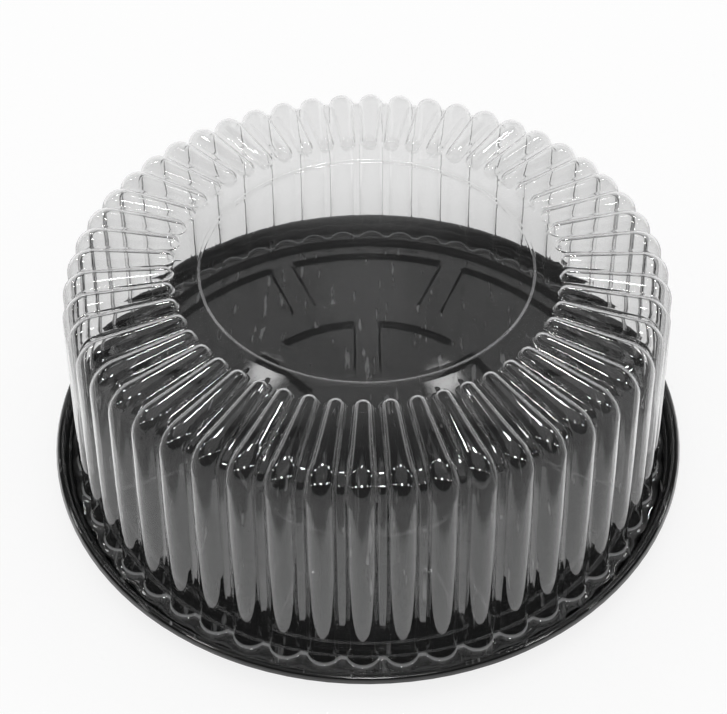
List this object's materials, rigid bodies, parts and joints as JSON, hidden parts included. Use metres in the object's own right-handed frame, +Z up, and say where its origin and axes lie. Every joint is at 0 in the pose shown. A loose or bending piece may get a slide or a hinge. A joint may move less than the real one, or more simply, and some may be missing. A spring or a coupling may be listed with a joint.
{
  "type": "round cake container",
  "caption": "Round cake container: a shallow black tray with a ribbed floor, and a clear fluted dome lid that lifts off.",
  "frame": {"origin": "under the middle of the tray, on the surface it stands on", "axes": "+Z up along the axis of the round tray and dome, -Y to the front"},
  "size_m": [0.3, 0.3, 0.1102],
  "materials": {
    "tray_plastic": "glossy black formed sheet",
    "clear_plastic": "clear glossy formed sheet"
  },
  "bodies": {
    "tray": {"base_tray": "tray_plastic"},
    "lid": {"dome_lid": "clear_plastic"}
  },
  "joints": [
    {"name": "lid_lift", "type": "slide", "parent": "tray", "child": "lid", "axis": [0, 0, 1], "range_m": [0, 0.15]}
  ]
}
